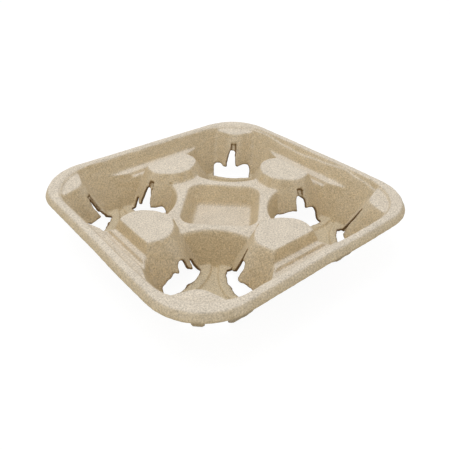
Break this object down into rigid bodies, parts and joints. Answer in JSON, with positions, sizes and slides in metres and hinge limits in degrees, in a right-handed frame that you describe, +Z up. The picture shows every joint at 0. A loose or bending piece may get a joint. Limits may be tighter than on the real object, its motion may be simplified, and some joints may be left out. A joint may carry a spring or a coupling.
{
  "type": "cup carrier",
  "caption": "Square moulded-pulp drinks carrier tray with round cup wells, D-shaped posts between them, corner ledges, slotted flaps, a central pocket and a rolled rim.",
  "frame": {"origin": "under the middle of the tray, on the plane its well floors stand on", "axes": "+Z up, out of the cup wells; +X and +Y across the square's sides, through the middles of opposite posts"},
  "size_m": [0.215, 0.215, 0.043],
  "materials": {
    "pulp": "rough uncoated moulded fibre"
  },
  "bodies": {
    "root": {"tray": "pulp"}
  },
  "joints": []
}
